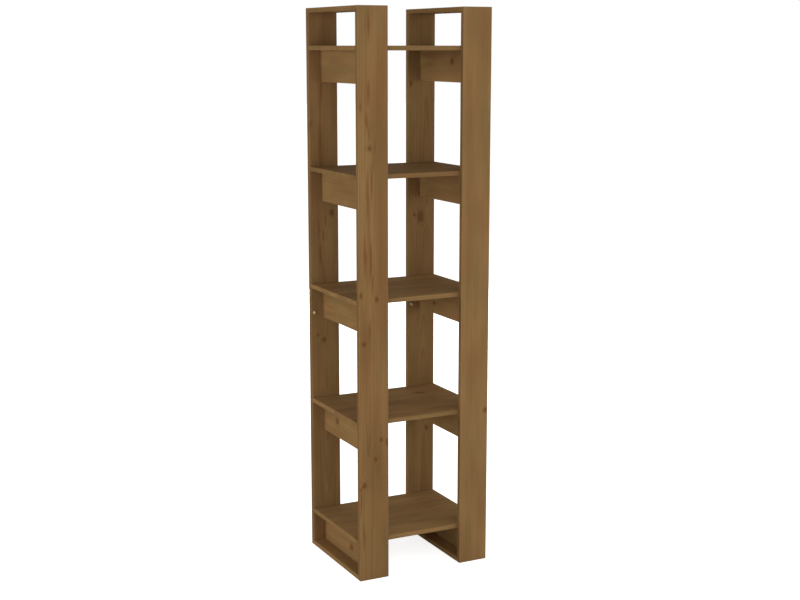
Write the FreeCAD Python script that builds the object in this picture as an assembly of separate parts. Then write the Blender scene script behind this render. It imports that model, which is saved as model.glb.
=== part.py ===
import FreeCAD, Part
import math
import os

from FreeCAD import Vector

# An open room divider bookcase in solid pine: two ring frames, left and right, carry five shelves.
# X runs to the right, Y to the back and Z up from the middle of the floor it stands on, in millimetres.

# Overall size
width = 410.0
depth = 350.0
height = 1600.0

# Boards
upright_width = 90.0
upright_thickness = 16.0
rail_thickness = 13.0
apron_height = 90.0
apron_thickness = 13.0
shelf_thickness = 13.0
shelf_count = 5
top_bay_height = 92.0
edge_radius = 2.0
edge_wall_share = 0.3
end_chamfer_share = 0.5

# Ring joints: rails lapped into the uprights' ends, aprons tenoned into their faces
rail_lap_share = 0.5
tenon_length_share = 0.6
tenon_thickness_share = 0.5
tenon_height_share = 0.75
joint_fit = 0.15

# Dowels between shelves and aprons
dowel_diameter = 6.0
dowel_in_apron = 14.0
dowel_in_shelf_share = 0.6
dowel_fit = 0.1
dowel_end_gap = 0.5

# Domed screws in the rear uprights, in pairs astride the middle aprons
screw_head_diameter = 12.0
screw_head_height = 3.5
screw_rim_height = 1.0
screw_shank_diameter = 5.0
screw_bite_share = 0.7
screw_from_edge = 12.0
screw_above_apron_foot = 16.5
screw_fit = 0.1

# Clearance between a shelf and the uprights, and how far a cut runs past a surface
shelf_clearance = 0.3
overrun = 5.0

# Places worked out from the sizes above
inner_y = depth / 2 - upright_thickness
upright_y = (depth - upright_thickness) / 2
ring_x = (width - upright_width) / 2
rail_lap = rail_lap_share * upright_thickness
tenon_length = tenon_length_share * upright_thickness
tenon_thickness = tenon_thickness_share * apron_thickness
tenon_height = tenon_height_share * apron_height
dowel_in_shelf = dowel_in_shelf_share * shelf_thickness
screw_offset = upright_width / 2 - screw_from_edge
screw_bite = screw_bite_share * upright_thickness
lowest_shelf = rail_thickness + apron_height
highest_shelf = height - rail_thickness - top_bay_height - shelf_thickness
shelf_pitch = (highest_shelf - lowest_shelf) / (shelf_count - 1)
shelf_undersides = [lowest_shelf + shelf_pitch * level for level in range(shelf_count)]
screw_z = shelf_undersides[shelf_count // 2] - apron_height + screw_above_apron_foot

left_right = {"left": -1, "right": 1}
front_rear = {"front": -1, "rear": 1}
across = Vector(1, 0, 0)
back = Vector(0, 1, 0)
up = Vector(0, 0, 1)


def edge_ease(thickness):
    """Radius of a board's rounded edges, held to a share of its thickness."""
    return min(edge_radius, edge_wall_share * thickness)


def bar(centre, u, u_size, v, v_size, run):
    """A straight board: a rectangular section with rounded corners, run along the grain."""
    ease = edge_ease(min(u_size, v_size))
    half_u = u * (u_size / 2 - ease)
    half_v = v * (v_size / 2 - ease)
    low = centre - half_v
    high = centre + half_v
    corners = [low - half_u, low + half_u, high + half_u, high - half_u]
    core = Part.Face(Part.makePolygon(corners + corners[:1]))
    return core.makeOffset2D(ease).extrude(run)


def block(x_ends, y_ends, z_ends):
    """A plain box between two places on each axis, given in either order."""
    ends = (x_ends, y_ends, z_ends)
    sizes = [max(pair) - min(pair) for pair in ends]
    return Part.makeBox(*sizes, Vector(*[min(pair) for pair in ends]))


def tenon_space(side, end, underside, fit):
    """The tongue at one end of an apron, or with a fit its mortise in the upright."""
    x = side * ring_x
    z = underside - apron_height / 2
    half_x = tenon_thickness / 2 + fit
    half_z = tenon_height / 2 + fit
    y_ends = (end * (inner_y - overrun), end * (inner_y + tenon_length + fit))
    return block((x - half_x, x + half_x), y_ends, (z - half_z, z + half_z))


def screw_places(side):
    """Where the two screws of one rear upright enter its inner face."""
    return [Vector(side * ring_x + offset, inner_y, screw_z) for offset in (-screw_offset, screw_offset)]


def screw_hole(place):
    """Blind hole for one screw's shank, bored from in front of the face."""
    length = overrun + screw_bite + screw_fit
    return Part.makeCylinder(screw_shank_diameter / 2 + screw_fit, length, place - back * overrun, back)


def upright(side, end):
    """Full-height plank with chamfered ends, rebated there for the rails and mortised for the aprons."""
    x = side * ring_x
    plank = bar(Vector(x, end * upright_y, 0), across, upright_width, back, upright_thickness, up * height)
    level_edges = [edge for edge in plank.Edges if edge.BoundBox.ZLength < height / 2]
    plank = plank.makeChamfer(end_chamfer_share * edge_ease(upright_thickness), level_edges)
    reach = upright_width / 2 + overrun
    lap_y = (end * (inner_y - overrun), end * (inner_y + rail_lap))
    cuts = [
        block((x - reach, x + reach), lap_y, (-overrun, rail_thickness)),
        block((x - reach, x + reach), lap_y, (height - rail_thickness, height + overrun)),
    ]
    cuts += [tenon_space(side, end, underside, joint_fit) for underside in shelf_undersides]
    if end == front_rear["rear"]:
        cuts += [screw_hole(place) for place in screw_places(side)]
    return plank.cut(cuts)


def rail(side, base):
    """Board on the flat that closes a ring, its ends lapped into the uprights."""
    half_length = inner_y + rail_lap - joint_fit
    centre = Vector(side * ring_x, -half_length, base + rail_thickness / 2)
    return bar(centre, across, upright_width, up, rail_thickness, back * (2 * half_length))


def dowel_space(side, underside, fit, gap):
    """The dowel between an apron's middle and its shelf, or with a fit and a gap its bored hole."""
    length = dowel_in_apron + dowel_in_shelf + 2 * gap
    foot = Vector(side * ring_x, 0, underside - dowel_in_apron - gap)
    return Part.makeCylinder(dowel_diameter / 2 + fit, length, foot)


def apron(side, underside):
    """Board on edge between the uprights of a ring, tenoned at both ends and bored for a dowel."""
    centre = Vector(side * ring_x, -inner_y, underside - apron_height / 2)
    body = bar(centre, across, apron_thickness, up, apron_height, back * (2 * inner_y))
    tongues = [tenon_space(side, end, underside, 0) for end in front_rear.values()]
    hole = dowel_space(side, underside, dowel_fit, dowel_end_gap)
    return body.fuse(tongues).cut(hole).removeSplitter()


def shelf(underside):
    """Full-width board, rounded over round its top and bottom faces, lying on the aprons of both rings."""
    half_depth = inner_y - shelf_clearance
    x_ends = (-width / 2, width / 2)
    board = block(x_ends, (-half_depth, half_depth), (underside, underside + shelf_thickness))
    level_edges = [edge for edge in board.Edges if edge.BoundBox.ZLength < shelf_thickness / 2]
    board = board.makeFillet(edge_ease(shelf_thickness), level_edges)
    return board.cut([dowel_space(side, underside, dowel_fit, dowel_end_gap) for side in left_right.values()])


def screw(place):
    """Domed head seated on the upright's face with a plain shank behind it, turned about its axis."""
    head_radius = screw_head_diameter / 2
    shank_radius = screw_shank_diameter / 2
    dome_rise = screw_head_height - screw_rim_height
    dome_radius = (head_radius**2 + dome_rise**2) / (2 * dome_rise)
    half_angle = math.asin(head_radius / dome_radius) / 2

    def point(radius, forward):
        return place + across * radius - back * forward

    crown = point(0, screw_head_height)
    dome_drop = dome_radius * (1 - math.cos(half_angle))
    shoulder = point(dome_radius * math.sin(half_angle), screw_head_height - dome_drop)
    rim = point(head_radius, screw_rim_height)
    outline = [rim, point(head_radius, 0), point(shank_radius, 0), point(shank_radius, -screw_bite)]
    outline += [point(0, -screw_bite), crown]
    edges = [Part.Arc(crown, shoulder, rim).toShape()]
    edges += [Part.makeLine(first, second) for first, second in zip(outline, outline[1:])]
    return Part.Face(Part.Wire(edges)).revolve(place, back, math.degrees(2 * math.pi))


nodes = {}
for side_name, side in left_right.items():
    for end_name, end in front_rear.items():
        nodes["upright_" + end_name + "_" + side_name] = upright(side, end)
    nodes["rail_bottom_" + side_name] = rail(side, 0)
    nodes["rail_top_" + side_name] = rail(side, height - rail_thickness)
    for level, underside in enumerate(shelf_undersides, start=1):
        nodes["apron_" + side_name + "_" + str(level)] = apron(side, underside)

dowels = []
for level, underside in enumerate(shelf_undersides, start=1):
    nodes["shelf_" + str(level)] = shelf(underside)
    dowels += [dowel_space(side, underside, 0, 0) for side in left_right.values()]
nodes["shelf_dowels"] = Part.makeCompound(dowels)

screws = [screw(place) for side in left_right.values() for place in screw_places(side)]
nodes["rear_fixing_screws"] = Part.makeCompound(screws)

os.makedirs("parts", exist_ok=True)
for name, shape in nodes.items():
    shape.exportStep("parts/" + name + ".step")
    print(name, len(shape.Solids), "solids", round(shape.Volume), "mm3", shape.isValid())
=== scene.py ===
import math
from typing import NamedTuple

import bpy
import numpy as np
from bpy.props import FloatProperty, FloatVectorProperty, PointerProperty
from bpy.types import Operator, Panel, PropertyGroup
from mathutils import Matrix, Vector


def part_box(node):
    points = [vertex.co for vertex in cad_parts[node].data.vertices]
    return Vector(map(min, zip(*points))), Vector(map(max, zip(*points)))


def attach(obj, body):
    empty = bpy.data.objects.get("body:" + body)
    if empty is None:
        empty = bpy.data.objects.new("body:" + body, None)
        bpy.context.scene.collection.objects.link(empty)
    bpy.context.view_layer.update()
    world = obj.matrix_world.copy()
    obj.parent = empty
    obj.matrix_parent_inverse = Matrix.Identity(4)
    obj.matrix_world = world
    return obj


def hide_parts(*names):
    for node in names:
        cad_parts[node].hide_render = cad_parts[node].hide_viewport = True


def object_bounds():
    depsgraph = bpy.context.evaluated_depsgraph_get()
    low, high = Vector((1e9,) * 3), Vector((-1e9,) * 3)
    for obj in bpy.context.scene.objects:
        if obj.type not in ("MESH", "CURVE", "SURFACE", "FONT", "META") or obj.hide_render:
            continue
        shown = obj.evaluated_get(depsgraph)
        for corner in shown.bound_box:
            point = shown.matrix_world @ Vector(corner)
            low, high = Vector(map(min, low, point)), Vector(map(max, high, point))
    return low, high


bl_info = {
    "name": "Room Divider Bookcase",
    "version": (1, 0, 0),
    "blender": (4, 5, 0),
    "location": "3D View > Sidebar > Bookcase",
    "description": "Finishes an open bookcase in stained pine and sets it on a pale studio floor",
    "category": "Object",
}

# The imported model, and its box before anything is added. All lengths are in metres.
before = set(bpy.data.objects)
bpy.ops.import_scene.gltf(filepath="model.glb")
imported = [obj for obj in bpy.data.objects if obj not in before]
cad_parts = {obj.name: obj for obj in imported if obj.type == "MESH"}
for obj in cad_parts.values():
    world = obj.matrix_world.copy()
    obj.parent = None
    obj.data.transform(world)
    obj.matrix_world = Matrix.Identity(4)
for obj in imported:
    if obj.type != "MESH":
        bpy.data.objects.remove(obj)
CAD_BOX = [list(corner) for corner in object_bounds()]
BODY = "root"
DOWELS = "shelf_dowels"
MM = 0.001


class BoardKind(NamedTuple):
    """What the boards of one group have in common.

    The axes are named in the order across the board, through its thickness and along its grain. The first
    tree numbers the random draws. Rings is how strongly growth rings show at most, mottling how much lighter
    or darker the stain's patches are, and end_tone the colour of the end grain against the faces. Boards
    with staves are glued up from them edge to edge.
    """

    stem: str
    axes: str
    first_tree: int
    rings: float = 0.62
    mottling: float = 0.085
    end_tone: float = 1.0
    staves: bool = False


UPRIGHTS = BoardKind("upright_", axes="XYZ", first_tree=101, end_tone=0.78)
RAILS = BoardKind("rail_", axes="XZY", first_tree=201)
APRONS = BoardKind("apron_", axes="ZXY", first_tree=301, rings=0.36, mottling=0.12)
SHELVES = BoardKind("shelf_", axes="YZX", first_tree=401, mottling=0.1, end_tone=0.9, staves=True)

# Knots as (across, along, half width, half length) from the board's middle, in millimetres.
KNOTS = {
    "upright_front_left": (
        (-39, 22, 4, 6),
        (9, 9, 4.5, 6),
        (-30, -114, 5, 6),
        (-30, -519, 5, 7),
        (5, -447, 4, 5),
        (22, -391, 4, 5),
        (42, -400, 5, 9),
        (-11, 423, 4, 5),
    ),
    "upright_front_right": ((37, -345, 5, 6),),
    "upright_rear_left": ((24, 213, 6, 8), (-4, -166, 5, 6), (-24, -150, 3, 4)),
    "upright_rear_right": ((-3, 185, 9, 15), (-23, 192, 3.5, 4), (-36, 585, 4, 7), (20, -480, 4, 6)),
    "apron_left_1": ((-9, -32, 7, 9),),
    "apron_left_2": ((4, 63, 8, 10),),
    "apron_right_3": ((-12, 60, 4, 6),),
    "apron_right_5": ((14, -41, 7, 8),),
    "shelf_2": ((70, 108, 5, 16),),
    "shelf_4": ((-60, -120, 6, 9),),
}

# Long reddish flecks of heartwood, given in the same way.
FLECKS = {
    "upright_front_left": (
        (-13, 750, 6, 45),
        (-14, 580, 7, 42),
        (-39, 536, 7, 18),
        (-20, 497, 6, 30),
        (-14, 460, 3, 24),
        (4, 425, 3, 26),
        (0, 380, 3, 40),
        (-5, 330, 4, 60),
        (-17, 290, 7, 90),
        (-26, 130, 6, 90),
        (-8, 120, 6, 60),
        (-2, 55, 3, 40),
        (-12, -85, 3, 45),
        (-40, -527, 6, 14),
        (-41, -570, 4, 55),
        (-33, -665, 5, 60),
    ),
    "upright_rear_left": (
        (-8, 580, 5, 60),
        (-41, 467, 7, 16),
        (-10, 420, 6, 110),
        (3, 195, 3, 28),
        (-4, 150, 3, 28),
        (-18, 160, 3, 34),
        (-13, 90, 5, 44),
    ),
}

# Where the pith runs beside a board (across, through), in millimetres, for boards whose figure is known.
PITHS = {
    "upright_front_left": (-13, 46),
    "upright_front_right": (140, 36),
    "upright_rear_left": (-4, -44),
    "upright_rear_right": (12, -62),
}

# How much lighter or darker a board is drawn: partly its own take of the stain, partly painted light and
# shade that brightens boards the lamps leave too dark, such as the right-hand aprons, bottom rails and lower
# shelves, and darkens others.
PAINTED_LIGHT_AND_TONES = {
    "upright_front_left": 0.99,
    "upright_front_right": 1.05,
    "upright_rear_left": 0.96,
    "upright_rear_right": 0.96,
    "apron_left_1": 0.98,
    "apron_left_2": 0.92,
    "apron_left_3": 0.89,
    "apron_left_4": 0.91,
    "apron_left_5": 0.87,
    "apron_right_1": 1.46,
    "apron_right_2": 1.4,
    "apron_right_3": 1.33,
    "apron_right_4": 1.2,
    "apron_right_5": 1.18,
    "rail_bottom_left": 1.22,
    "rail_bottom_right": 1.4,
    "rail_top_left": 0.9,
    "rail_top_right": 0.88,
    "shelf_1": 1.09,
    "shelf_2": 1.06,
    "shelf_3": 1.02,
    "shelf_4": 0.9,
    "shelf_5": 0.95,
}

# Painted shade on a board's sawn sides: how much darker they are drawn than its faces, to match how light
# falls on them.
PAINTED_SIDE_SHADE = {
    "upright_front_left": 0.79,
    "upright_front_right": 0.7,
    "upright_rear_left": 0.76,
    "upright_rear_right": 0.95,
    "rail_bottom_left": 0.87,
}

# The pith of the other boards, in millimetres: how far it lies to either side at most, and off the middle.
PITH_ACROSS = 40
PITH_THROUGH = (30, 80)

# How far a pith leans at most, in radians, and how far up the trunk a board comes from, in metres.
PITH_LEAN = 0.012
TRUNK_HEIGHTS = (2, 9)

# Noises in the wood: features per metre across the grain, their share of that along it, and detail.
GRAIN = {
    "drift": (11.0, 0.09, 1.0),
    "wobble": (60.0, 0.15, 2.0),
    "fibres": (330.0, 0.03, 2.0),
    "bands": (45.0, 0.03, 2.0),
    "clouds": (9.0, 0.2, 2.0),
    "flushes": (16.0, 0.12, 1.0),
    "patches": (24.0, 0.2, 2.0),
    "fleck_rims": (70.0, 0.25, 2.0),
}

# How far the growth rings stray from circles, slowly and in fine waves.
DRIFT_REACH = (22 * MM, 22 * MM, 0)
WOBBLE_REACH = (2.2 * MM, 2.2 * MM, 0)

# Noise that makes the rings uneven in width: features per metre, and the number of rings it adds at most.
WIDTH_NOISE_RATE = 70.0
WIDTH_NOISE_RINGS = 3.0

# One ring as (place, darkness) from its early to its late wood, and how strongly rings show at least.
RING_PROFILE = ((0, 0.05), (0.35, 0.08), (0.7, 0.45), (0.88, 1), (0.95, 0.9), (1, 0.05))
LEAST_RINGS = 0.1

# How far apart in the tree a shelf's staves come from at most, across, through and along the grain.
STAVE_REACH = (0.2, 0.06, 2.0)

# Heartwood red: the radii where it begins and is full, and how much of it shows there.
HEART_RADII = (30 * MM, 12 * MM)
HEART_REDNESS = 0.35

# Flush patches of the same red: where they begin and are full, and how much of it shows in most boards.
FLUSH_RIM = (0.35, 0.75)
PLAIN_REDNESS = 0.14

# Boards whose flush patches show more of it.
REDNESS = {"upright_front_left": 0.4, "upright_rear_left": 0.25}

# Flecks: where they begin and are full, as shares of their half sizes, and how much of the red they show.
FLECK_RIM = (1.2, 0.1)
FLECK_STRENGTH = 0.85

# How far the flecks' outlines are pushed about, and how far apart boards lie in the noise that does so.
FLECK_PUSH = (9 * MM, 0, 50 * MM)
FLECK_STEP = 4.0

# Ragged rims of the knots: features per metre, and the least and greatest change of a distance.
KNOT_NOISE_RATE = 160.0
KNOT_RAGGEDNESS = (0.8, 1.2)

# How far a knot pushes the rings out, and how fast that falls off round it.
KNOT_PUSH = 9 * MM
KNOT_PUSH_FALL = 0.3

# A knot's halo and branch: where they begin and are full, as shares of its half sizes, and their strength.
HALO_RIM = (2.6, 1.0)
HALO_STRENGTH = 0.35
KNOT_RIM = (1.45, 0.7)
KNOT_STRENGTH = 0.62

# Lightness of a knot's branch from its middle to its rim, as (place, lightness).
KNOT_PROFILE = ((0, 0.8), (0.25, 1.1), (0.62, 1), (0.86, 0.7), (1, 0.85))

# How much lighter or darker clouds, fibres, bands and staves make the stain.
CLOUD_SWING = 0.12
FIBRE_SWING = 0.07
BAND_SWING = 0.09
STAVE_SWING = 0.06

# The stain's patches: where they begin and are full, and what greener and redder ones do to a colour's parts.
PATCH_RIM = (0.3, 0.7)
GREEN_TINT = (0.98, 1.02, 1.0)
RED_TINT = (1.02, 0.965, 0.97)

# Worn edges: how far they reach in, features per metre, and how much of the worn colour shows at most.
WEAR_REACH = 3.2 * MM
WEAR_NOISE_RATE = 90.0
WEAR_STRENGTH = 0.3

# Relief of the late wood and of the fibres, and the strength and height of both together.
LATE_RELIEF = 0.6
FIBRE_RELIEF = 0.8
RELIEF_STRENGTH = 0.12
RELIEF_HEIGHT = 0.5 * MM

# What fibres add to the roughness or take off, and what early and late wood add to it.
FIBRE_ROUGHNESS = 0.07
LATE_ROUGHNESS = (0.03, -0.05)

# The finish reflects so little that white surroundings don't haze the boards at low angles.
SPECULAR_LEVEL = 0.005

# Cosines of the angle to an axis where a surface begins to face along it and fully does.
FACING = (0.6, 0.95)

# Rows of points on a screw's dome, and steps of the turn about its axis.
DOME_ROWS = 40
TURN_STEPS = 120

# Width of the camera's sensor, in millimetres.
SENSOR_WIDTH = 36

# Lamps: the place of each, and its share of the strongest one's power.
LAMPS = {
    "left_lamp": ((-4.4, 0.2, 1.2), 1.0),
    "front_left_lamp": ((-2.8, -3.2, 1.5), 0.46),
    "front_lamp": ((-0.6, -4.4, 1.2), 0.28),
    "front_high_lamp": ((-0.3, -3.8, 3.4), 0.33),
    "front_right_lamp": ((3.0, -3.2, 1.6), 0.47),
    "right_lamp": ((4.4, 1.0, 1.5), 0.74),
    "rear_lamp": ((1.2, 4.4, 0.9), 0.8),
    "top_lamp": ((0.0, 0.0, 4.4), 0.3),
}


def srgb(red, green, blue):
    """Linear colour of three 8-bit screen values."""
    levels = np.array([red, green, blue]) / 255
    return tuple(np.where(levels <= 0.04045, levels / 12.92, ((levels + 0.055) / 1.055) ** 2.4))


def screw_box():
    """Lowest and highest corner of the four packed screws."""
    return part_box("rear_fixing_screws")


def screw_seat():
    """Place along Y of the face that the screw heads sit on."""
    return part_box("upright_rear_left")[0].y


class PineFinish(PropertyGroup):
    """Colours and figure of the stained pine."""

    early_wood: FloatVectorProperty(
        name="Early wood", description="Pale part of each growth ring under the stain",
        subtype="COLOR", min=0, max=1, default=srgb(137, 107, 69),
    )
    late_wood: FloatVectorProperty(
        name="Late wood", description="Dark line that ends each growth ring",
        subtype="COLOR", min=0, max=1, default=srgb(108, 78, 46),
    )
    heart_wood: FloatVectorProperty(
        name="Heartwood", description="Reddish wood near the middle of the tree",
        subtype="COLOR", min=0, max=1, default=srgb(116, 78, 45),
    )
    knot_wood: FloatVectorProperty(
        name="Knots", description="Wood of the knots",
        subtype="COLOR", min=0, max=1, default=srgb(98, 62, 35),
    )
    worn_edge: FloatVectorProperty(
        name="Worn edges", description="Lighter wood where sanding has thinned the stain on the edges",
        subtype="COLOR", min=0, max=1, default=srgb(158, 126, 84),
    )
    ring_width: FloatProperty(
        name="Ring width", description="Mean width of a growth ring",
        subtype="DISTANCE", unit="LENGTH", min=0.5 * MM, default=3.4 * MM,
    )
    stave_width: FloatProperty(
        name="Stave width", description="Width of the staves that are glued edge to edge into a shelf",
        subtype="DISTANCE", unit="LENGTH", min=10 * MM, default=63.5 * MM,
    )
    roughness: FloatProperty(
        name="Roughness", description="Roughness of the thin satin finish",
        subtype="FACTOR", min=0, max=1, default=0.82,
    )


class ScrewSizes(PropertyGroup):
    """Sizes of the domed fixing screws."""

    head_diameter: FloatProperty(
        name="Head diameter", description="Diameter of the domed head",
        subtype="DISTANCE", unit="LENGTH", default=screw_box()[1].z - screw_box()[0].z,
    )
    head_height: FloatProperty(
        name="Head height", description="How far the head stands off the board",
        subtype="DISTANCE", unit="LENGTH", default=screw_seat() - screw_box()[0].y,
    )
    rim_height: FloatProperty(
        name="Rim height", description="Height of the head's upright rim",
        subtype="DISTANCE", unit="LENGTH", default=1 * MM,
    )
    shank_diameter: FloatProperty(
        name="Shank diameter", description="Diameter of the shank in the board",
        subtype="DISTANCE", unit="LENGTH", default=5 * MM,
    )
    shank_length: FloatProperty(
        name="Shank length", description="Length of the shank below the head",
        subtype="DISTANCE", unit="LENGTH", default=screw_box()[1].y - screw_seat(),
    )
    recess_reach: FloatProperty(
        name="Recess reach", description="Length of each arm of the cross recess",
        subtype="DISTANCE", unit="LENGTH", default=2.9 * MM,
    )
    recess_width: FloatProperty(
        name="Recess width", description="Width of each arm of the cross recess",
        subtype="DISTANCE", unit="LENGTH", default=1.3 * MM,
    )
    recess_depth: FloatProperty(
        name="Recess depth", description="Depth of the cross recess",
        subtype="DISTANCE", unit="LENGTH", default=1.7 * MM,
    )
    metal: FloatVectorProperty(
        name="Metal", description="Colour of the nickel plating",
        subtype="COLOR", min=0, max=1, default=srgb(153, 138, 112),
    )


class StageSettings(PropertyGroup):
    """Floor, light and camera."""

    floor_side: FloatProperty(
        name="Floor side", description="Side of the square floor",
        subtype="DISTANCE", unit="LENGTH", default=60,
    )
    floor_colour: FloatVectorProperty(
        name="Floor colour", description="Colour of the floor",
        subtype="COLOR", min=0, max=1, default=srgb(243, 243, 241),
    )
    sky_light: FloatProperty(
        name="Sky light", description="Strength of the even light from all round", min=0, default=0.14,
    )
    lamp_power: FloatProperty(
        name="Lamp power", description="Power of the strongest lamp, of which the others have their shares",
        unit="POWER", min=0, default=88,
    )
    lamp_side: FloatProperty(
        name="Lamp side", description="Side of the square lamps",
        subtype="DISTANCE", unit="LENGTH", default=2.4,
    )
    camera_place: FloatVectorProperty(
        name="Camera place", description="Where the camera stands",
        subtype="TRANSLATION", unit="LENGTH", default=(-1.768, -3.546, 1.495),
    )
    camera_turn: FloatProperty(
        name="Camera turn", description="How far the camera looks to the right of straight ahead",
        subtype="ANGLE", unit="ROTATION", default=math.radians(26.608),
    )
    camera_dip: FloatProperty(
        name="Camera dip", description="How far the camera looks down",
        subtype="ANGLE", unit="ROTATION", default=math.radians(10.417),
    )
    lens: FloatProperty(
        name="Lens", description="Focal length in millimetres on a 36 mm sensor",
        subtype="DISTANCE_CAMERA", unit="CAMERA", default=62.28,
    )


class NodeSheet:
    """The node tree of a material or a world, with short ways to add and wire nodes."""

    def __init__(self, owner):
        owner.use_nodes = True
        self.tree = owner.node_tree
        self.tree.nodes.clear()

    def feed(self, socket, value):
        """Wires a socket into another, or sets its value."""
        if isinstance(value, bpy.types.NodeSocket):
            self.tree.links.new(value, socket)
        elif socket.type == "RGBA" and len(value) == 3:
            socket.default_value = (*value, 1)
        else:
            socket.default_value = value

    def node(self, kind, inputs=(), **settings):
        """Adds a node with its settings and its inputs, which are named or numbered."""
        made = self.tree.nodes.new("ShaderNode" + kind)
        for key, value in settings.items():
            setattr(made, key, value)
        for key, value in dict(inputs).items():
            self.feed(made.inputs[key], value)
        return made

    def math(self, operation, *values):
        """Result of an operation on numbers."""
        return self.node("Math", enumerate(values), operation=operation).outputs[0]

    def total(self, first, *others):
        """Sum of some numbers."""
        result = first
        for value in others:
            result = self.math("ADD", result, value)
        return result

    def vector(self, operation, *values):
        """Result of an operation on vectors or colours that is one itself."""
        return self.node("VectorMath", enumerate(values), operation=operation).outputs[0]

    def length(self, vector):
        """Length of a vector."""
        return self.node("VectorMath", {0: vector}, operation="LENGTH").outputs["Value"]

    def scaled(self, vector, amount):
        """A vector or a colour times a number."""
        return self.node("VectorMath", {0: vector, "Scale": amount}, operation="SCALE").outputs[0]

    def parts(self, vector):
        """The three numbers of a vector or a colour."""
        return self.node("SeparateXYZ", {0: vector}).outputs

    def smooth(self, value, low, high):
        """0 at low and 1 at high, easing in and out between."""
        inputs = {"Value": value, "From Min": low, "From Max": high}
        return self.node("MapRange", inputs, interpolation_type="SMOOTHSTEP").outputs[0]

    def span(self, value, low, high):
        """A value from 0 to 1, spread evenly from low to high."""
        return self.node("MapRange", {"Value": value, "To Min": low, "To Max": high}).outputs[0]

    def swing(self, value, amount):
        """A value from 0 to 1, spread evenly from -amount to amount."""
        return self.span(value, -amount, amount)

    def noise(self, place, rate, detail=2.0, output="Fac"):
        """Noise with so many features per metre."""
        return self.node("TexNoise", {"Vector": place, "Scale": rate, "Detail": detail}).outputs[output]

    def grain(self, place, name, output="Fac"):
        """One of the wood's noises, drawn out along the third axis."""
        rate, share, detail = GRAIN[name]
        return self.noise(self.vector("MULTIPLY", place, (1, 1, share)), rate, detail, output)

    def push(self, colour, reach):
        """A noise's colour as a push to and fro, by at most half of reach each way."""
        return self.vector("MULTIPLY", self.vector("SUBTRACT", colour, (0.5, 0.5, 0.5)), reach)

    def blend(self, amount, first, second):
        """Colour that goes from first to second, by the colour sockets of a Mix node."""
        return self.node("Mix", {0: amount, 6: first, 7: second}, data_type="RGBA").outputs[2]

    def ramp(self, value, stops):
        """Value read off a curve of (place, height) stops."""
        made = self.node("ValToRGB", {0: value})
        elements = made.color_ramp.elements
        while len(elements) < len(stops):
            elements.new(1)
        for element, (place, height) in zip(elements, stops):
            element.position = place
            element.color = (height, height, height, 1)
        return made.outputs["Color"]

    def output(self, shader, kind="OutputMaterial"):
        """Ends the tree in a shader."""
        self.node(kind, {"Surface": shader.outputs[0]})


def board_space(sheet, low, high, axes):
    """Place on a board as (across, through, along) from its middle."""
    centre = (low + high) / 2
    parts = sheet.parts(sheet.node("TexCoord").outputs["Object"])
    turned = sheet.node("CombineXYZ", enumerate(parts[axis] for axis in axes))
    middle = [centre["XYZ".index(axis)] for axis in axes]
    return sheet.vector("SUBTRACT", turned.outputs[0], middle)


def stave_space(sheet, place, half_width, stave_width, number):
    """Place on a shelf, with each stave moved to its own part of the tree, and a chance value per stave."""
    across = sheet.parts(place)[0]
    count = sheet.math("DIVIDE", sheet.math("ADD", across, half_width), stave_width)
    stave = sheet.math("ADD", sheet.math("FLOOR", count), float(number))
    chance = sheet.node("TexWhiteNoise", {"W": stave}, noise_dimensions="1D").outputs
    return sheet.vector("ADD", place, sheet.push(chance["Color"], STAVE_REACH)), chance["Value"]


def tree_space(sheet, place, node, number):
    """Place in the tree that a board was sawn from, where the third axis is the pith."""
    draw = np.random.default_rng(number)
    drawn_across = draw.uniform(-PITH_ACROSS, PITH_ACROSS)
    drawn_through = draw.choice([-1, 1]) * draw.uniform(*PITH_THROUGH)
    across, through = np.array(PITHS.get(node, (drawn_across, drawn_through))) * MM
    lean = draw.uniform(-PITH_LEAN, PITH_LEAN, 2)
    inputs = {
        "Vector": place,
        "Location": (-across, -through, draw.uniform(*TRUNK_HEIGHTS)),
        "Rotation": (lean[0], lean[1], 0),
    }
    return sheet.node("Mapping", inputs).outputs[0]


def nearest_oval(sheet, place, ovals):
    """Distance to the nearest of some ovals on the board's face, where 1 is an oval's rim."""
    nearest = None
    for across, along, half_width, half_length in ovals:
        inputs = {
            "Vector": place,
            "Location": (-across / half_width, 0, -along / half_length),
            "Scale": (1 / (half_width * MM), 0, 1 / (half_length * MM)),
        }
        distance = sheet.length(sheet.node("Mapping", inputs).outputs[0])
        nearest = distance if nearest is None else sheet.math("MINIMUM", nearest, distance)
    return nearest


def edge_nearness(sheet, place, half, reach):
    """1 on a board's edges and 0 further than reach from them.

    The distance to the nearest edge is taken as the middle one of the three distances to the faces.
    """
    x, y, z = sheet.parts(sheet.vector("SUBTRACT", half, sheet.vector("ABSOLUTE", place)))
    lesser = sheet.math("MINIMUM", x, y)
    greater = sheet.math("MAXIMUM", x, y)
    middle = sheet.math("MAXIMUM", lesser, sheet.math("MINIMUM", greater, z))
    return sheet.smooth(middle, reach, 0.0)


def facing(sheet, axis):
    """1 where the surface faces along an axis, either way, and 0 where it lies along it."""
    normal = sheet.node("TexCoord").outputs["Normal"]
    way = tuple(float(axis == name) for name in "XYZ")
    dot = sheet.node("VectorMath", {0: normal, 1: way}, operation="DOT_PRODUCT").outputs["Value"]
    return sheet.smooth(sheet.math("ABSOLUTE", dot), *FACING)


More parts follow.
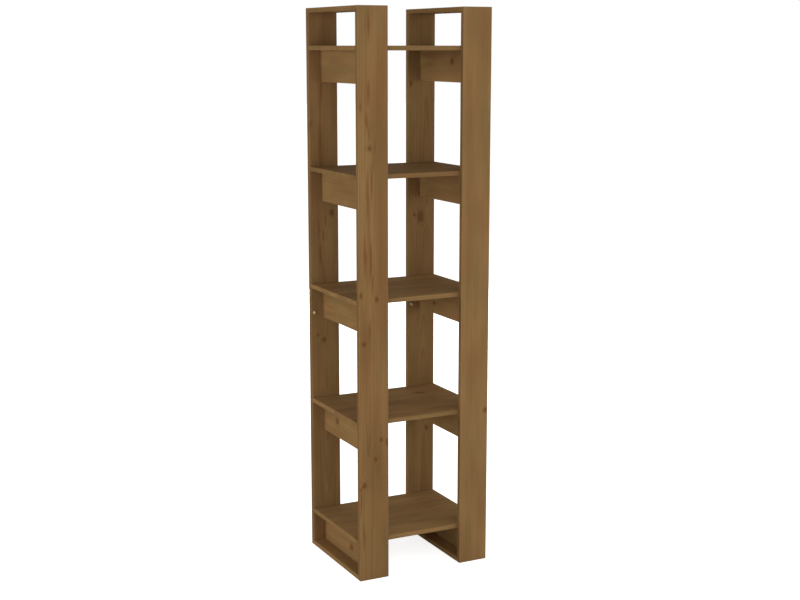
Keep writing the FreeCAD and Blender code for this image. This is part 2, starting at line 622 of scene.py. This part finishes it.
class PineBoard:
    """Stained pine on one board, sawn as a solid piece from a tree.

    Growth rings are circles round a pith line that runs beside the board, a little askew and wavy, so each
    face of the board cuts its own figure. Knots push the rings out, and the layers of colour follow in turn.
    """

    def __init__(self, node, kind, number):
        self.node = node
        self.kind = kind
        self.number = number
        self.look = bpy.context.scene.bookcase_pine
        self.material = bpy.data.materials.new("pine_" + node)
        self.sheet = NodeSheet(self.material)
        low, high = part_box(node)
        self.half = [(high - low)["XYZ".index(axis)] / 2 for axis in kind.axes]
        self.place = board_space(self.sheet, low, high, kind.axes)
        sawn, self.stave = self.place, None
        if kind.staves:
            sawn, self.stave = stave_space(self.sheet, sawn, self.half[0], self.look.stave_width, number)
        self.tree = tree_space(self.sheet, sawn, node, number)
        self.knot = self.knot_distance()
        self.radius = self.pith_distance()
        self.late = self.lateness()
        self.fibre = self.sheet.grain(self.tree, "fibres")
        self.cloud = self.sheet.grain(self.tree, "clouds")

    def knot_distance(self):
        """Distance to the nearest knot, where 1 is its ragged rim, or None on a board without knots."""
        if self.node not in KNOTS:
            return None
        distance = nearest_oval(self.sheet, self.place, KNOTS[self.node])
        noise = self.sheet.noise(self.place, KNOT_NOISE_RATE, detail=1.0)
        return self.sheet.math("MULTIPLY", distance, self.sheet.span(noise, *KNOT_RAGGEDNESS))

    def pith_distance(self):
        """Distance from the pith, made wavy, and greater round the knots, which push the rings out."""
        sheet = self.sheet
        drift = sheet.push(sheet.grain(self.tree, "drift", "Color"), DRIFT_REACH)
        wobble = sheet.push(sheet.grain(self.tree, "wobble", "Color"), WOBBLE_REACH)
        wavy = sheet.vector("ADD", self.tree, sheet.vector("ADD", drift, wobble))
        radius = sheet.length(sheet.vector("MULTIPLY", wavy, (1, 1, 0)))
        if self.knot is None:
            return radius
        fall = sheet.math("MULTIPLY", sheet.math("POWER", self.knot, 2.0), -KNOT_PUSH_FALL)
        return sheet.math("ADD", radius, sheet.math("MULTIPLY", sheet.math("EXPONENT", fall), KNOT_PUSH))

    def lateness(self):
        """How late in its growth ring the wood is, as a darkness from 0 to 1, in rings of uneven width."""
        sheet = self.sheet
        inputs = {"W": self.radius, "Scale": WIDTH_NOISE_RATE, "Detail": 1.0}
        uneven = sheet.node("TexNoise", inputs, noise_dimensions="1D").outputs["Fac"]
        even = sheet.math("DIVIDE", self.radius, self.look.ring_width)
        rings = sheet.math("ADD", even, sheet.math("MULTIPLY", uneven, WIDTH_NOISE_RINGS))
        return sheet.ramp(sheet.math("FRACT", rings), RING_PROFILE)

    def wood(self):
        """Colour of the bare wood: its rings, which show more in some places, and its redder heart."""
        sheet, look = self.sheet, self.look
        shown = sheet.math("MULTIPLY", self.late, sheet.span(self.cloud, LEAST_RINGS, self.kind.rings))
        colour = sheet.blend(shown, look.early_wood, look.late_wood)
        heart = sheet.math("MULTIPLY", sheet.smooth(self.radius, *HEART_RADII), HEART_REDNESS)
        patch = sheet.smooth(sheet.grain(self.tree, "flushes"), *FLUSH_RIM)
        flush = sheet.span(patch, 0.0, REDNESS.get(self.node, PLAIN_REDNESS))
        return sheet.blend(sheet.total(heart, flush), colour, look.heart_wood)

    def add_flecks(self, colour):
        """Adds the board's long reddish flecks, with uneven outlines of their own on each board."""
        if self.node not in FLECKS:
            return colour
        sheet = self.sheet
        own_place = sheet.vector("ADD", self.place, (0, 0, FLECK_STEP * self.number))
        push = sheet.push(sheet.grain(own_place, "fleck_rims", "Color"), FLECK_PUSH)
        fleck = nearest_oval(sheet, sheet.vector("ADD", self.place, push), FLECKS[self.node])
        strength = sheet.math("MULTIPLY", sheet.smooth(fleck, *FLECK_RIM), FLECK_STRENGTH)
        return sheet.blend(strength, colour, self.look.heart_wood)

    def add_stain(self, colour):
        """Adds the stain, which is lighter, darker, greener or redder from place to place, times each board's
        factor of its own tone and painted light and shade.
        """
        sheet = self.sheet
        depth, hue, _ = sheet.parts(sheet.grain(self.tree, "patches", "Color"))
        tint = sheet.blend(sheet.smooth(hue, *PATCH_RIM), GREEN_TINT, RED_TINT)
        swings = [
            sheet.swing(self.cloud, CLOUD_SWING),
            sheet.swing(self.fibre, FIBRE_SWING),
            sheet.swing(sheet.grain(self.tree, "bands"), BAND_SWING),
            sheet.swing(sheet.smooth(depth, *PATCH_RIM), self.kind.mottling),
        ]
        if self.stave is not None:
            swings.append(sheet.swing(self.stave, STAVE_SWING))
        # The board's factor here is partly its own stain and partly painted light and shade.
        light = sheet.math("MULTIPLY", sheet.total(1.0, *swings), PAINTED_LIGHT_AND_TONES.get(self.node, 1.0))
        return sheet.scaled(sheet.vector("MULTIPLY", colour, tint), light)

    def add_knots(self, colour):
        """Adds the knots: a soft reddish halo, then the branch with its dark rim."""
        if self.knot is None:
            return colour
        sheet, look = self.sheet, self.look
        halo = sheet.math("MULTIPLY", sheet.smooth(self.knot, *HALO_RIM), HALO_STRENGTH)
        colour = sheet.blend(halo, colour, look.heart_wood)
        branch = sheet.scaled(look.knot_wood, sheet.ramp(self.knot, KNOT_PROFILE))
        cover = sheet.math("MULTIPLY", sheet.smooth(self.knot, *KNOT_RIM), KNOT_STRENGTH)
        return sheet.blend(cover, colour, branch)

    def add_end_grain_and_side_shade(self, colour):
        """Darkens the end grain, which drinks more stain than the faces, and paints shade on the sawn sides
        of some boards.
        """
        across, _, along = self.kind.axes
        # The end grain's factor is the stain; the sawn sides' factor is painted shade.
        for axis, tone in ((along, self.kind.end_tone), (across, PAINTED_SIDE_SHADE.get(self.node, 1.0))):
            if tone != 1.0:
                colour = self.sheet.scaled(colour, self.sheet.span(facing(self.sheet, axis), 1.0, tone))
        return colour

    def add_wear(self, colour):
        """Lightens the edges here and there, where sanding has thinned the stain."""
        sheet = self.sheet
        near = edge_nearness(sheet, self.place, self.half, WEAR_REACH)
        patchy = sheet.span(sheet.noise(self.place, WEAR_NOISE_RATE), 0.0, WEAR_STRENGTH)
        return sheet.blend(sheet.math("MULTIPLY", near, patchy), colour, self.look.worn_edge)

    def add_finish(self, colour):
        """Ends the material in a nearly matt finish over raised late wood and fine fibres."""
        sheet = self.sheet
        late_relief = sheet.math("MULTIPLY", self.late, LATE_RELIEF)
        relief = sheet.total(late_relief, sheet.math("MULTIPLY", self.fibre, FIBRE_RELIEF))
        raised = {"Height": relief, "Strength": RELIEF_STRENGTH, "Distance": RELIEF_HEIGHT}
        fibre_part = sheet.swing(self.fibre, FIBRE_ROUGHNESS)
        late_part = sheet.span(self.late, *LATE_ROUGHNESS)
        inputs = {
            "Base Color": colour,
            "Roughness": sheet.total(fibre_part, late_part, self.look.roughness),
            "Specular IOR Level": SPECULAR_LEVEL,
            "Normal": sheet.node("Bump", raised).outputs[0],
        }
        sheet.output(sheet.node("BsdfPrincipled", inputs))


def pine_material(node, kind, number):
    """Stained pine for one board, in layers from the bare wood to the finish."""
    board = PineBoard(node, kind, number)
    colour = board.wood()
    for add_layer in (board.add_flecks, board.add_stain, board.add_knots, board.add_end_grain_and_side_shade, board.add_wear):
        colour = add_layer(colour)
    board.add_finish(colour)
    return board.material


def dowel_material():
    """Pale beech with short dark flecks along the grain."""
    pale, brown, dark = srgb(203, 165, 122), srgb(178, 138, 98), srgb(120, 80, 50)
    fibre_rate, fleck_rate, along_share = 700.0, 1800.0, 0.2
    fleck_rim, fleck_strength, roughness = (0.58, 0.68), 0.5, (0.5, 0.7)
    material = bpy.data.materials.new("beech_dowel")
    sheet = NodeSheet(material)
    place = sheet.vector("MULTIPLY", sheet.node("TexCoord").outputs["Object"], (1, 1, along_share))
    fibre = sheet.noise(place, fibre_rate)
    fleck = sheet.smooth(sheet.noise(place, fleck_rate, detail=1.0), *fleck_rim)
    wood = sheet.blend(fibre, pale, brown)
    colour = sheet.blend(sheet.math("MULTIPLY", fleck, fleck_strength), wood, dark)
    inputs = {"Base Color": colour, "Roughness": sheet.span(fibre, *roughness)}
    sheet.output(sheet.node("BsdfPrincipled", inputs))
    return material


def nickel_material(metal):
    """Plated steel with faint level marks and a few duller patches."""
    patch_rate, mark_rate, upward_share = 420.0, 900.0, 6
    patch_light, patch_roughness, mark_roughness = (0.86, 1.06), (0.38, 0.52), 0.04
    material = bpy.data.materials.new("nickel_plate")
    sheet = NodeSheet(material)
    place = sheet.node("TexCoord").outputs["Object"]
    patch = sheet.noise(place, patch_rate, detail=3.0)
    mark = sheet.noise(sheet.vector("MULTIPLY", place, (1, 1, upward_share)), mark_rate)
    raised = {"Height": mark, "Strength": 0.06, "Distance": 0.1 * MM}
    inputs = {
        "Base Color": sheet.scaled(metal, sheet.span(patch, *patch_light)),
        "Metallic": 1.0,
        "Roughness": sheet.total(sheet.span(patch, *patch_roughness), sheet.swing(mark, mark_roughness)),
        "Normal": sheet.node("Bump", raised).outputs[0],
    }
    sheet.output(sheet.node("BsdfPrincipled", inputs))
    return material


def dress(node, material):
    """Puts a material on a CAD node."""
    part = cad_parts[node]
    if not part.material_slots:
        part.data.materials.append(material)
    for slot in part.material_slots:
        slot.material = material


def finish_boards(kind):
    """Gives each board of a group its own cut of pine."""
    boards = sorted(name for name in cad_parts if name.startswith(kind.stem) and name != DOWELS)
    if not boards:
        raise RuntimeError("the frame has no boards named " + kind.stem)
    for number, node in enumerate(boards, start=kind.first_tree):
        dress(node, pine_material(node, kind, number))


def eased(values, low, high):
    """0 at low and 1 at high, easing in and out between."""
    share = np.clip((values - low) / (high - low), 0, 1)
    return share * share * (3 - 2 * share)


def screw_profile(sizes):
    """Radius and height off the seat along a screw, from beside its crown to its end.

    The dome is the cap of a ball that rises from the rim to the head's height. An upright rim with its lower
    edge eased, the flat seat, and a straight shank with an eased end follow.
    """
    rim_ease, seat_share = 0.1 * MM, 0.97
    straight_share, end_share = 0.96, 0.8
    head, shank = sizes.head_diameter / 2, sizes.shank_diameter / 2
    rise = sizes.head_height - sizes.rim_height
    ball = (head**2 + rise**2) / (2 * rise)
    dome = head * np.linspace(0, 1, DOME_ROWS + 1)[1:]
    dome_height = sizes.head_height - ball + np.sqrt(ball**2 - dome**2)
    straight = straight_share * sizes.shank_length
    radius = np.concatenate([dome, [head, head * seat_share, shank, shank, shank * end_share]])
    height = np.concatenate([dome_height, [rim_ease, 0, 0, -straight, -sizes.shank_length]])
    return radius, height


def cross_recess(sizes, radius, across, up):
    """Depth of the cross that is pressed into a screw's dome.

    The greater one of two crossed bars, each eased at its sides and ends, times a share of the full depth
    that grows towards the middle.
    """
    side_ease, straight_share, deep_share, wide_share = 0.35 * MM, 0.72, 0.2, 1.3
    half_bar, reach = sizes.recess_width / 2, sizes.recess_reach

    def bar(side, way):
        sides = eased(np.abs(side), half_bar + side_ease, half_bar)
        return sides * eased(np.abs(way), reach, reach * straight_share)

    cross = np.maximum(bar(across, up), bar(up, across))
    return sizes.recess_depth * cross * eased(radius, reach * wide_share, reach * deep_share)


def turned_faces(rows, columns):
    """Faces of a turned grid: quads between its rows, and fans to the crown and the tip that follow it."""
    row, column = np.meshgrid(np.arange(rows - 1), np.arange(columns), indexing="ij")
    here, below = row * columns, (row + 1) * columns
    after = (column + 1) % columns
    quads = np.stack([here + column, here + after, below + after, below + column], axis=-1).reshape(-1, 4)
    ring = np.arange(columns)
    next_ring = (ring + 1) % columns
    end = (rows - 1) * columns
    crown = np.full(columns, rows * columns)
    crown_fan = np.stack([crown, next_ring, ring], axis=-1)
    tip_fan = np.stack([crown + 1, end + ring, end + next_ring], axis=-1)
    return quads, np.concatenate([crown_fan, tip_fan])


def screw_surface(sizes, place):
    """Points, quads and fans of one screw: its profile turned about the axis through place, less the cross.

    A point lies its radius times the cosine of the turn across, its radius times the sine up, and its height
    less the cross forward. Rows of the grid follow the profile and columns the turn.
    """
    radius, height = (values[:, None] for values in screw_profile(sizes))
    turn = np.linspace(0, 2 * np.pi, TURN_STEPS, endpoint=False)
    across, up = radius * np.cos(turn), radius * np.sin(turn)
    on_dome = np.arange(len(radius))[:, None] < DOME_ROWS
    height = height - on_dome * cross_recess(sizes, radius, across, up)
    grid = np.stack([across, -height, up], axis=-1)
    crown = (0, sizes.recess_depth - sizes.head_height, 0)
    tip = (0, sizes.shank_length, 0)
    points = np.concatenate([grid.reshape(-1, 3), [crown, tip]]) + np.array(place)
    return points, *turned_faces(*across.shape)


def screw_places(sizes):
    """Seat of each screw: two on each rear upright, the same distance in from its two sides."""
    low, high = screw_box()
    upright_low, upright_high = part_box("upright_rear_right")
    outer = high.x - sizes.head_diameter / 2
    inner = upright_low.x + upright_high.x - outer
    return [(x, screw_seat(), (low.z + high.z) / 2) for x in (-outer, -inner, inner, outer)]


class BOOKCASE_OT_uprights(Operator):
    """Finish the four upright planks in pine with the grain standing"""

    bl_idname = "bookcase.uprights"
    bl_label = "Uprights"

    def execute(self, context):
        finish_boards(UPRIGHTS)
        return {"FINISHED"}


class BOOKCASE_OT_rails(Operator):
    """Finish the top and bottom rails of both rings"""

    bl_idname = "bookcase.rails"
    bl_label = "Rails"

    def execute(self, context):
        finish_boards(RAILS)
        return {"FINISHED"}


class BOOKCASE_OT_aprons(Operator):
    """Finish the ten aprons under the shelves"""

    bl_idname = "bookcase.aprons"
    bl_label = "Aprons"

    def execute(self, context):
        finish_boards(APRONS)
        return {"FINISHED"}


class BOOKCASE_OT_shelves(Operator):
    """Finish the five shelves as boards glued up from staves"""

    bl_idname = "bookcase.shelves"
    bl_label = "Shelves"

    def execute(self, context):
        finish_boards(SHELVES)
        return {"FINISHED"}


class BOOKCASE_OT_dowels(Operator):
    """Finish the beech dowels between shelves and aprons"""

    bl_idname = "bookcase.dowels"
    bl_label = "Dowels"

    def execute(self, context):
        dress(DOWELS, dowel_material())
        return {"FINISHED"}


class BOOKCASE_OT_screws(Operator):
    """Make the domed fixing screws with their cross recesses"""

    bl_idname = "bookcase.screws"
    bl_label = "Fixing Screws"

    def execute(self, context):
        sizes = context.scene.bookcase_screws
        points, faces = [], []
        for place in screw_places(sizes):
            first = len(points)
            surface, quads, fans = screw_surface(sizes, place)
            points += surface.tolist()
            faces += (quads + first).tolist() + (fans + first).tolist()
        mesh = bpy.data.meshes.new("fixing_screws")
        mesh.from_pydata(points, [], faces)
        mesh.shade_smooth()
        mesh.materials.append(nickel_material(sizes.metal))
        screws = bpy.data.objects.new("fixing_screws", mesh)
        context.scene.collection.objects.link(screws)
        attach(screws, BODY)
        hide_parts("rear_fixing_screws")
        return {"FINISHED"}


def seen_directly(sheet):
    """1 for what the camera sees, straight or in a mirror or through glass, and 0 for light on surfaces."""
    path = sheet.node("LightPath").outputs
    mirrored = sheet.math("MAXIMUM", path["Is Glossy Ray"], path["Is Transmission Ray"])
    return sheet.math("MAXIMUM", path["Is Camera Ray"], mirrored)


class BOOKCASE_OT_stage(Operator):
    """Set up the pale floor, the soft light and the camera"""

    bl_idname = "bookcase.stage"
    bl_label = "Stage"

    def execute(self, context):
        scene, stage = context.scene, context.scene.bookcase_stage
        scene.view_settings.view_transform = "Standard"
        self.make_floor(scene, stage)
        self.make_world(scene, stage)
        for name, (place, share) in LAMPS.items():
            self.make_lamp(scene, stage, name, place, share)
        self.make_camera(scene, stage)
        return {"FINISHED"}

    def make_floor(self, scene, stage):
        """A wide floor that the camera sees as white, a little darker where the object shades it."""
        half = stage.floor_side / 2
        shaded_radius, white_radius, shaded_glow = 0.6, 2.2, 0.8
        mesh = bpy.data.meshes.new("floor")
        corners = [(-half, -half, 0), (half, -half, 0), (half, half, 0), (-half, half, 0)]
        mesh.from_pydata(corners, [], [(0, 1, 2, 3)])
        material = bpy.data.materials.new("floor")
        sheet = NodeSheet(material)
        paint = sheet.node("BsdfDiffuse", {"Color": stage.floor_colour})
        away = sheet.length(sheet.node("TexCoord").outputs["Object"])
        glow = sheet.span(sheet.smooth(away, shaded_radius, white_radius), shaded_glow, 1.0)
        light = sheet.node("Emission", {"Strength": sheet.math("MULTIPLY", seen_directly(sheet), glow)})
        sheet.output(sheet.node("AddShader", {0: paint.outputs[0], 1: light.outputs[0]}))
        mesh.materials.append(material)
        floor = bpy.data.objects.new("floor", mesh)
        scene.collection.objects.link(floor)

    def make_world(self, scene, stage):
        """Even light from all round, seen as a white background."""
        scene.world = bpy.data.worlds.new("studio")
        sheet = NodeSheet(scene.world)
        light = sheet.node("Background", {"Color": (1, 1, 1), "Strength": stage.sky_light})
        white = sheet.node("Background", {"Color": (1, 1, 1), "Strength": 1.0})
        inputs = {0: seen_directly(sheet), 1: light.outputs[0], 2: white.outputs[0]}
        sheet.output(sheet.node("MixShader", inputs), "OutputWorld")

    def make_lamp(self, scene, stage, name, place, share):
        """A large square lamp that faces the middle of the object."""
        lamp = bpy.data.lights.new(name, "AREA")
        lamp.energy, lamp.size = stage.lamp_power * share, stage.lamp_side
        holder = bpy.data.objects.new(name, lamp)
        holder.location = place
        aim = Vector((0, 0, CAD_BOX[1][2] / 2)) - Vector(place)
        holder.rotation_euler = aim.to_track_quat("-Z", "Y").to_euler()
        scene.collection.objects.link(holder)

    def make_camera(self, scene, stage):
        """The camera of the photograph, which looks down a little from head height."""
        eye = bpy.data.cameras.new("camera")
        eye.lens, eye.sensor_width = stage.lens, SENSOR_WIDTH
        camera = bpy.data.objects.new("camera", eye)
        camera.location = stage.camera_place
        camera.rotation_euler = (math.pi / 2 - stage.camera_dip, 0, -stage.camera_turn)
        scene.collection.objects.link(camera)
        scene.camera = camera


OPERATORS = (
    BOOKCASE_OT_uprights,
    BOOKCASE_OT_rails,
    BOOKCASE_OT_aprons,
    BOOKCASE_OT_shelves,
    BOOKCASE_OT_dowels,
    BOOKCASE_OT_screws,
    BOOKCASE_OT_stage,
)


class BOOKCASE_PT_panel(Panel):
    """Steps that finish the bookcase, in order"""

    bl_idname = "BOOKCASE_PT_panel"
    bl_label = "Bookcase"
    bl_space_type = "VIEW_3D"
    bl_region_type = "UI"
    bl_category = "Bookcase"

    def draw(self, context):
        for operator in OPERATORS:
            self.layout.operator(operator.bl_idname)


GROUPS = {"bookcase_pine": PineFinish, "bookcase_screws": ScrewSizes, "bookcase_stage": StageSettings}


def register():
    for cls in (*GROUPS.values(), *OPERATORS, BOOKCASE_PT_panel):
        bpy.utils.register_class(cls)
    for name, group in GROUPS.items():
        setattr(bpy.types.Scene, name, PointerProperty(type=group))


def unregister():
    for name in GROUPS:
        delattr(bpy.types.Scene, name)
    for cls in (BOOKCASE_PT_panel, *reversed(OPERATORS), *GROUPS.values()):
        bpy.utils.unregister_class(cls)


def main():
    register()
    for operator in OPERATORS:
        group, name = operator.bl_idname.split(".")
        getattr(getattr(bpy.ops, group), name)()


if __name__ == "__main__":
    main()
